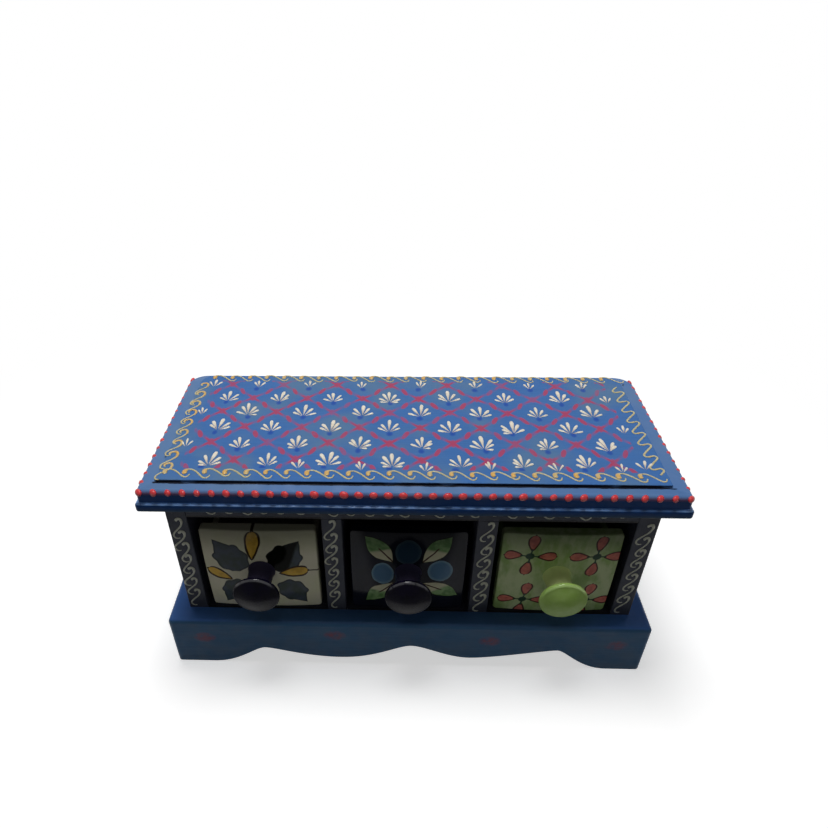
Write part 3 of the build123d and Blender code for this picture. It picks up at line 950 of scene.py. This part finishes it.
class CHEST_OT_lid_dots(Operator):
    """Sets red dots of paint along the front and side edges of the lid"""

    bl_idname = "chest.lid_dots"
    bl_label = "Lid dots"

    def execute(self, context):
        sizes, colours = context.scene.chest_sizes, context.scene.chest_colours
        # the dots' foot colour is painted shade
        red = make_raised_paint("dot_paint", colours.dot_red, paint(190, 34, 46), foot=paint(146, 14, 26))
        side_inset, front_inset, back_inset = 3.3, 2.3, 8.0
        left, right = LID_LOW.x + side_inset, LID_HIGH.x - side_inset
        front, back = LID_LOW.y + front_inset, LID_HIGH.y - back_inset
        path = ((left, back), (left, front), (right, front), (right, back))
        line = [Vector((x, y, DOT_HEIGHT)) * MM for x, y in path]
        length = sum((b - a).length for a, b in zip(line, line[1:]))
        dots = grow(
            "lid_dots", dot_tree(), line, Count=round(length / sizes.dot_pitch) + 1, Width=sizes.dot_width,
            Thickness=sizes.dot_width * 0.54, Seed=sizes.seed, Material=red)
        settle(dots, "case")
        return {"FINISHED"}


class CHEST_OT_lid_scrolls(Operator):
    """Runs the yellow scroll border round the top of the lid"""

    bl_idname = "chest.lid_scrolls"
    bl_label = "Lid border"

    def execute(self, context):
        sizes, colours = context.scene.chest_sizes, context.scene.chest_colours
        yellow = make_raised_paint(
            "scroll_paint", colours.scroll_yellow, paint(186, 175, 130), thick=paint(218, 170, 86))
        tree = scroll_tree()
        top = LID_HIGH.z + 0.05
        # name, stroke, start, along, units, shares of the pitch and of the line's width, load
        # and the part of the stroke that has it
        borders = (
            ("front", SCROLL, (-136.8, -44.5), (1, 0, 0), 24, 1.0, 1.0, 1.6, (0.0, 0.26)),
            ("back", SCROLL, (-131.6, 59.7), (1, 0, 0), 23, 1.04, 1.0, 1.6, (0.0, 0.26)),
            ("left", CURL, (-137.6, 51.5), (0, -1, 0), 9, 0.97, 1.0, 0.55, (0.1, 0.5)),
            ("right", WAVE, (135.8, 46.0), (0, -1, 0), 8, 1.02, 1.15, 0.3, (0.5, 0.5)),
        )
        strokes = []
        for number, (name, stroke, start, along, units, share, width, load, part) in enumerate(borders):
            step = sizes.scroll_pitch * share
            # each wave runs on into the next, so it is even and as long as its step
            steady = stroke is WAVE
            reach = step / MM / (WAVE[-1][0] - WAVE[0][0]) if steady else 1.0
            line = flowing([(forward * reach, aside) for forward, aside in stroke])
            strokes.append(grow(
                f"lid_scroll_{name}", tree, line, Steps=len(line), Start=Vector((*start, top)) * MM,
                Along=along, Out=(0, 0, 1), Units=units, Pitch=step, Stroke=sizes.scroll_stroke * width,
                Load=load, Load_From=part[0], Load_To=part[1], Ends=1.0 if steady else 0.7,
                Uneven=0.0 if steady else 0.06, Seed=sizes.seed + 10 * number, Material=yellow))
        settle(merge("lid_border", strokes), "case")
        return {"FINISHED"}


class CHEST_OT_lid_fans(Operator):
    """Lays the cream fans on the top of the lid"""

    bl_idname = "chest.lid_fans"
    bl_label = "Lid fans"

    def execute(self, context):
        sizes, colours = context.scene.chest_sizes, context.scene.chest_colours
        cream = make_raised_paint(
            "fan_paint", colours.petal_cream, paint(228, 214, 188), thick=paint(176, 160, 152))
        tree = fan_tree()
        common = dict(
            Top=LID_HIGH.z * MM, Length=sizes.petal_length, Width=sizes.petal_width, Material=cream)
        fans = grow("lid_fans", tree, Seed=sizes.seed, **common)
        half_fans = grow(
            "lid_half_fans", tree, Rows=1, Columns=6, Petals=3, First_Column=-2.0, Stagger=0.0,
            First_Row=-40.8 * MM, Shift=-0.4 * MM, Size=0.66, Seed=sizes.seed + 31, **common)
        settle(merge("lid_fans", [fans, half_fans]), "case")
        return {"FINISHED"}


class CHEST_OT_case_paint(Operator):
    """Paints the boards of the case and its back"""

    bl_idname = "chest.case_paint"
    bl_label = "Case paint"

    def execute(self, context):
        colours = context.scene.chest_colours
        boards = ("side_panel_left", "side_panel_right", "divider_left", "divider_right", "top_rail")
        dress(make_case_paint(colours), *boards, "floor_board")
        dress(make_back_paint(colours), "back_panel")
        return {"FINISHED"}


class CHEST_OT_case_scrolls(Operator):
    """Draws the cream scrolls down the uprights and along the rail"""

    bl_idname = "chest.case_scrolls"
    bl_label = "Case scrolls"

    def execute(self, context):
        sizes = context.scene.chest_sizes
        cream = make_raised_paint("upright_paint", paint(182, 184, 164), paint(148, 150, 136))
        tree, line = scroll_tree(), flowing(HOOK)
        # name, place and height of the start, along, units, share of the line's width and seed
        runs = [
            (f"upright_scroll_{number}", x, 117.0, (0, 0, -1), 7, 1.0, 7 * number)
            for number, x in enumerate((-136.0, -46.2, 45.0, 134.6))
        ]
        runs.append(("rail_scroll", -126.0, 124.8, (1, 0, 0), 24, 0.8, 50))
        strokes = [
            grow(
                name, tree, line, Steps=len(line), Start=Vector((x, CASE_FRONT - 0.05, z)) * MM, Along=along,
                Out=(0, -1, 0), Units=units, Pitch=sizes.upright_pitch, Stroke=sizes.upright_stroke * width,
                Load=0.7, Load_From=0.0, Load_To=0.3, Uneven=0.08, Seed=sizes.seed + seed, Material=cream)
            for name, x, z, along, units, width, seed in runs
        ]
        settle(merge("case_scrolls", strokes), "case")
        return {"FINISHED"}


class CHEST_OT_skirt_paint(Operator):
    """Paints the four aprons of the skirt"""

    bl_idname = "chest.skirt_paint"
    bl_label = "Skirt paint"

    def execute(self, context):
        skirt = make_skirt_paint(context.scene.chest_colours)
        dress(skirt, "apron_front", "apron_back", "apron_left", "apron_right")
        return {"FINISHED"}


class CHEST_OT_drawer_glazes(Operator):
    """Glazes the three drawers"""

    bl_idname = "chest.drawer_glazes"
    bl_label = "Drawer glazes"

    def execute(self, context):
        for bay, make in zip(BAYS, (make_glaze_left, make_glaze_middle, make_glaze_right)):
            dress(make(context.scene.chest_colours), f"drawer_{bay}")
        return {"FINISHED"}


class CHEST_OT_knob_glazes(Operator):
    """Glazes the three knobs"""

    bl_idname = "chest.knob_glazes"
    bl_label = "Knob glazes"

    def execute(self, context):
        colours = context.scene.chest_colours
        # the second colour of each knob is its neck's painted light
        navy = make_knob_glaze("glaze_knob_navy", colours.knob_navy, paint(64, 60, 84), paint(8, 8, 18))
        lime = make_knob_glaze(
            "glaze_knob_green", colours.knob_lime, paint(228, 244, 166), paint(172, 212, 104))
        dress(navy, "knob_left", "knob_middle")
        dress(lime, "knob_right")
        return {"FINISHED"}


class CHEST_OT_fixings(Operator):
    """Gives the nails, studs, washers and nuts their steel"""

    bl_idname = "chest.fixings"
    bl_label = "Fixings"

    def execute(self, context):
        nails = ("lid_nails", "floor_nails", "back_nails", "apron_nails")
        knob_steel = [f"knob_{part}_{bay}" for part in ("stud", "washer", "nut") for bay in BAYS]
        dress(make_steel(), *nails, *knob_steel)
        return {"FINISHED"}


def add_lamp(name, place, aim, size, watts):
    """A square soft lamp, placed and aimed in metres."""
    lamp = bpy.data.lights.new(name, "AREA")
    lamp.size, lamp.energy = size, watts
    holder = bpy.data.objects.new(name, lamp)
    holder.location = place
    holder.rotation_euler = (Vector(aim) - Vector(place)).to_track_quat("-Z", "Y").to_euler()
    bpy.context.scene.collection.objects.link(holder)


def shown_ray(sheet):
    """1 for rays that see the background itself: from the camera, a gloss or glass."""
    kinds = ("Is Camera Ray", "Is Glossy Ray", "Is Transmission Ray")
    return any_of([sheet.add("ShaderNodeLightPath", out=kind) for kind in kinds])


class CHEST_OT_stage(Operator):
    """Sets up the pale floor, the soft lamps and the camera"""

    bl_idname = "chest.stage"
    bl_label = "Studio"

    def execute(self, context):
        self.make_floor()
        self.make_world(context)
        add_lamp("overhead_lamp", (-0.1, 0.16, 1.32), (0, 0, 0.1), 0.5, 11.5)
        add_lamp("front_lamp", (0.1, -1.5, 1.0), (0, 0, 0.08), 1.2, 1.15)
        self.make_camera(context)
        context.scene.view_settings.view_transform = "Standard"
        return {"FINISHED"}

    def make_floor(self):
        """A floor that is white to the camera far out and keeps a soft shadow near the chest."""
        sheet = new_material("floor")
        shown = shown_ray(sheet)
        pale = sheet.mix(shown, (0.24, 0.24, 0.24, 1), (0.8, 0.8, 0.8, 1))
        pale = sheet.mix(sheet.patchy(60, 0.0, 0.02), pale, (0.7, 0.7, 0.7, 1))
        diffuse = sheet.add("ShaderNodeBsdfDiffuse", {"Color": pale})
        glow = sheet.add("ShaderNodeEmission", {"Color": (1, 1, 1, 1), "Strength": shown * 0.55})
        near = sheet.add("ShaderNodeAddShader", {0: diffuse, 1: glow})
        far_glow = shown.rise(0, 1, 0.08, 1.0)
        far = sheet.add("ShaderNodeEmission", {"Color": (1, 1, 1, 1), "Strength": far_glow})
        x, y, _ = sheet.millimetres()
        reach = (x * x + y * y).root().rise(320.0, 560.0)
        surface = sheet.add("ShaderNodeMixShader", {0: reach, 1: near, 2: far})
        sheet.add("ShaderNodeOutputMaterial", {"Surface": surface})
        mesh = bpy.data.meshes.new("floor")
        half = 6.0
        square = [(-half, -half, 0), (half, -half, 0), (half, half, 0), (-half, half, 0)]
        mesh.from_pydata(square, [], [(0, 1, 2, 3)])
        mesh.materials.append(sheet.owner)
        floor = bpy.data.objects.new("floor", mesh)
        bpy.context.scene.collection.objects.link(floor)

    def make_world(self, context):
        """White to the camera, and a faint even light on the chest."""
        world = bpy.data.worlds.new("studio")
        world.use_nodes = True
        sheet = Sheet(world.node_tree)
        strength = shown_ray(sheet).rise(0.0, 1.0, 0.065, 1.0)
        surface = sheet.add("ShaderNodeBackground", {"Color": (1, 1, 1, 1), "Strength": strength})
        sheet.add("ShaderNodeOutputWorld", {"Surface": surface})
        context.scene.world = world

    def make_camera(self, context):
        """The camera where the photo was taken from."""
        yaw, pitch, roll = (math.radians(angle) for angle in CAMERA_ANGLES)
        forward = Vector((math.sin(yaw) * math.cos(pitch), math.cos(yaw) * math.cos(pitch), -math.sin(pitch)))
        level = Vector((math.cos(yaw), -math.sin(yaw), 0))
        upright = level.cross(forward)
        right = level * math.cos(roll) + upright * math.sin(roll)
        up = upright * math.cos(roll) - level * math.sin(roll)
        lens = bpy.data.cameras.new("camera")
        lens.lens, lens.sensor_width = CAMERA_LENS, SENSOR_WIDTH
        lens.shift_x, lens.shift_y = CAMERA_SHIFT
        lens.clip_start = 0.01
        camera = bpy.data.objects.new("camera", lens)
        columns = Matrix((right, up, -forward)).transposed()
        camera.matrix_world = Matrix.Translation(Vector(CAMERA_PLACE) * MM) @ columns.to_4x4()
        context.scene.collection.objects.link(camera)
        context.scene.camera = camera


class CHEST_PT_panel(Panel):
    """Lists the operators in the sidebar"""

    bl_label = "Chest"
    bl_idname = "CHEST_PT_panel"
    bl_space_type = "VIEW_3D"
    bl_region_type = "UI"
    bl_category = "Chest"

    def draw(self, context):
        for operator in OPERATORS:
            self.layout.operator(operator.bl_idname)
        for group in (context.scene.chest_sizes, context.scene.chest_colours):
            for name in group.__annotations__:
                self.layout.prop(group, name)


OPERATORS = (
    CHEST_OT_stage,
    CHEST_OT_lid_paint,
    CHEST_OT_lid_dots,
    CHEST_OT_lid_scrolls,
    CHEST_OT_lid_fans,
    CHEST_OT_case_paint,
    CHEST_OT_case_scrolls,
    CHEST_OT_skirt_paint,
    CHEST_OT_drawer_glazes,
    CHEST_OT_knob_glazes,
    CHEST_OT_fixings,
)
CLASSES = (ChestSizes, ChestColours, *OPERATORS, CHEST_PT_panel)


def register():
    for item in CLASSES:
        bpy.utils.register_class(item)
    bpy.types.Scene.chest_sizes = PointerProperty(type=ChestSizes)
    bpy.types.Scene.chest_colours = PointerProperty(type=ChestColours)


def unregister():
    del bpy.types.Scene.chest_colours
    del bpy.types.Scene.chest_sizes
    for item in reversed(CLASSES):
        bpy.utils.unregister_class(item)


def main():
    """Builds everything in order."""
    register()
    for operator in OPERATORS:
        family, name = operator.bl_idname.split(".")
        getattr(getattr(bpy.ops, family), name)()


if __name__ == "__main__":
    main()
